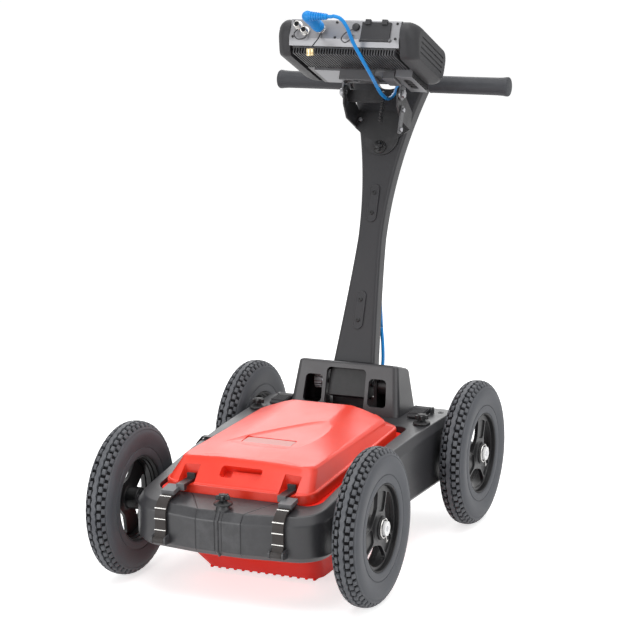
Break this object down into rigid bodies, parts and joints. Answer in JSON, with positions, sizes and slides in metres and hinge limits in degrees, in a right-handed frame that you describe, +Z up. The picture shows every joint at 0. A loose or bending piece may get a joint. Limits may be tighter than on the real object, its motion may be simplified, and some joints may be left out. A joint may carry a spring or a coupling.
{
  "type": "ground penetrating radar cart",
  "caption": "Survey cart on air tyres: a moulded ring frame holds a red antenna housing, and a folding mast with handlebar carries a tilting controller.",
  "frame": {"origin": "on the floor, in the middle of the footprint from the front tyres to the handlebar", "axes": "+Z up, the front of the cart towards -Y, +X to the right as seen from the front"},
  "size_m": [0.6078, 0.9858, 1.1296],
  "materials": {
    "frame_plastic": "satin textured moulding",
    "mast_plastic": "satin textured moulding",
    "black_plastic": "satin",
    "housing_red": "semi gloss moulding",
    "tyre_rubber": "matte rubber",
    "soft_rubber": "matte rubber",
    "strap_rubber": "matte rubber",
    "grip_rubber": "matte foam rubber",
    "steel": "brushed",
    "nickel": "plated",
    "aluminium": "satin anodised",
    "case_metal": "black anodised",
    "bracket_steel": "black powder coat",
    "white_plastic": "semi gloss",
    "board": "solder mask",
    "copper": "bare copper foil",
    "screen": "polished",
    "cable_blue": "smooth jacket"
  },
  "bodies": {
    "chassis": {"chassis_frame": "frame_plastic", "stub_axles": "steel", "axle_caps": "white_plastic", "axle_clips": "steel", "antenna_pan": "housing_red", "antenna_lid": "housing_red", "antenna_board": "board", "antenna_dipoles": "copper", "cable_gland": "black_plastic", "cowl": "frame_plastic", "hinge_brackets": "bracket_steel", "hinge_pin": "steel", "beam_clips": "black_plastic", "encoder_sensor": "black_plastic", "cable_lower": "cable_blue"},
    "wheel_front_left": {"tyre_front_left": "tyre_rubber", "rim_front_left": "black_plastic", "bearings_front_left": "steel"},
    "wheel_front_right": {"tyre_front_right": "tyre_rubber", "rim_front_right": "black_plastic", "bearings_front_right": "steel"},
    "wheel_rear_left": {"tyre_rear_left": "tyre_rubber", "rim_rear_left": "black_plastic", "bearings_rear_left": "steel", "encoder_ring": "steel"},
    "wheel_rear_right": {"tyre_rear_right": "tyre_rubber", "rim_rear_right": "black_plastic", "bearings_rear_right": "steel"},
    "strap_left": {"strap_left": "strap_rubber", "buckle_left": "black_plastic"},
    "strap_right": {"strap_right": "strap_rubber", "buckle_right": "black_plastic"},
    "latch_left": {"latch_left": "soft_rubber"},
    "latch_right": {"latch_right": "soft_rubber"},
    "front_knob": {"front_knob": "black_plastic"},
    "rear_knob_left": {"rear_knob_left": "black_plastic"},
    "rear_knob_right": {"rear_knob_right": "black_plastic"},
    "fold_knob": {"fold_knob": "aluminium"},
    "mast": {"mast_blade": "mast_plastic", "mast_foot": "black_plastic", "mast_covers": "mast_plastic", "mast_screws": "steel", "handle_bars": "case_metal", "handle_grips": "grip_rubber", "yoke": "bracket_steel", "yoke_bolts": "steel", "cable_upper": "cable_blue"},
    "tilt_knob": {"tilt_knob": "black_plastic"},
    "controller": {"controller_case": "case_metal", "heat_sink": "case_metal", "connector_panel": "aluminium", "bumpers": "soft_rubber", "battery_pack": "black_plastic", "screen_glass": "screen", "keypad": "soft_rubber", "connectors": "nickel", "cradle": "aluminium", "cable_plug": "cable_blue"},
    "port_door": {"port_door": "soft_rubber"},
    "jog_dial": {"jog_dial": "soft_rubber"}
  },
  "joints": [
    {"name": "wheel_spin_front_left", "type": "hinge", "parent": "chassis", "child": "wheel_front_left", "pos_m": [-0.2685, -0.32339, 0.159], "axis": [1, 0, 0], "continuous": true},
    {"name": "wheel_spin_front_right", "type": "hinge", "parent": "chassis", "child": "wheel_front_right", "pos_m": [0.2685, -0.32339, 0.159], "axis": [1, 0, 0], "continuous": true},
    {"name": "wheel_spin_rear_left", "type": "hinge", "parent": "chassis", "child": "wheel_rear_left", "pos_m": [-0.2685, 0.26061, 0.159], "axis": [1, 0, 0], "continuous": true},
    {"name": "wheel_spin_rear_right", "type": "hinge", "parent": "chassis", "child": "wheel_rear_right", "pos_m": [0.2685, 0.26061, 0.159], "axis": [1, 0, 0], "continuous": true},
    {"name": "strap_swing_left", "type": "hinge", "parent": "chassis", "child": "strap_left", "pos_m": [-0.128, -0.46825, 0.127], "axis": [1, 0, 0], "range_deg": [0, 100]},
    {"name": "strap_swing_right", "type": "hinge", "parent": "chassis", "child": "strap_right", "pos_m": [0.128, -0.46825, 0.127], "axis": [1, 0, 0], "range_deg": [0, 100]},
    {"name": "latch_lift_left", "type": "hinge", "parent": "chassis", "child": "latch_left", "pos_m": [-0.165, 0.23061, 0.254], "axis": [-1, 0, 0], "range_deg": [0, 100]},
    {"name": "latch_lift_right", "type": "hinge", "parent": "chassis", "child": "latch_right", "pos_m": [0.165, 0.23061, 0.254], "axis": [-1, 0, 0], "range_deg": [0, 100]},
    {"name": "front_knob_turn", "type": "hinge", "parent": "chassis", "child": "front_knob", "pos_m": [0, -0.43739, 0.206], "axis": [0, 0, 1], "continuous": true},
    {"name": "rear_knob_left_turn", "type": "hinge", "parent": "chassis", "child": "rear_knob_left", "pos_m": [-0.195, 0.13861, 0.246], "axis": [0, 0, 1], "continuous": true},
    {"name": "rear_knob_right_turn", "type": "hinge", "parent": "chassis", "child": "rear_knob_right", "pos_m": [0.195, 0.13861, 0.246], "axis": [0, 0, 1], "continuous": true},
    {"name": "fold_knob_turn", "type": "hinge", "parent": "chassis", "child": "fold_knob", "pos_m": [-0.077, 0.22661, 0.3], "axis": [1, 0, 0], "continuous": true},
    {"name": "mast_fold", "type": "hinge", "parent": "chassis", "child": "mast", "pos_m": [0, 0.22661, 0.3], "axis": [-1, 0, 0], "range_deg": [0, 65], "deforming": ["cable_lower"]},
    {"name": "tilt_knob_turn", "type": "hinge", "parent": "mast", "child": "tilt_knob", "pos_m": [0, 0.38473, 0.80753], "axis": [0, -0.9397, 0.342], "continuous": true},
    {"name": "controller_tilt", "type": "hinge", "parent": "mast", "child": "controller", "pos_m": [0, 0.34512, 0.93262], "axis": [1, 0, 0], "range_deg": [-15, 30], "deforming": ["cable_upper"]},
    {"name": "port_door_open", "type": "hinge", "parent": "controller", "child": "port_door", "pos_m": [0.073, 0.17622, 1.06365], "axis": [1, 0, 0], "range_deg": [0, 110]},
    {"name": "jog_dial_turn", "type": "hinge", "parent": "controller", "child": "jog_dial", "pos_m": [0.097, 0.26206, 1.07797], "axis": [0, 0.4067, 0.9135], "continuous": true}
  ]
}
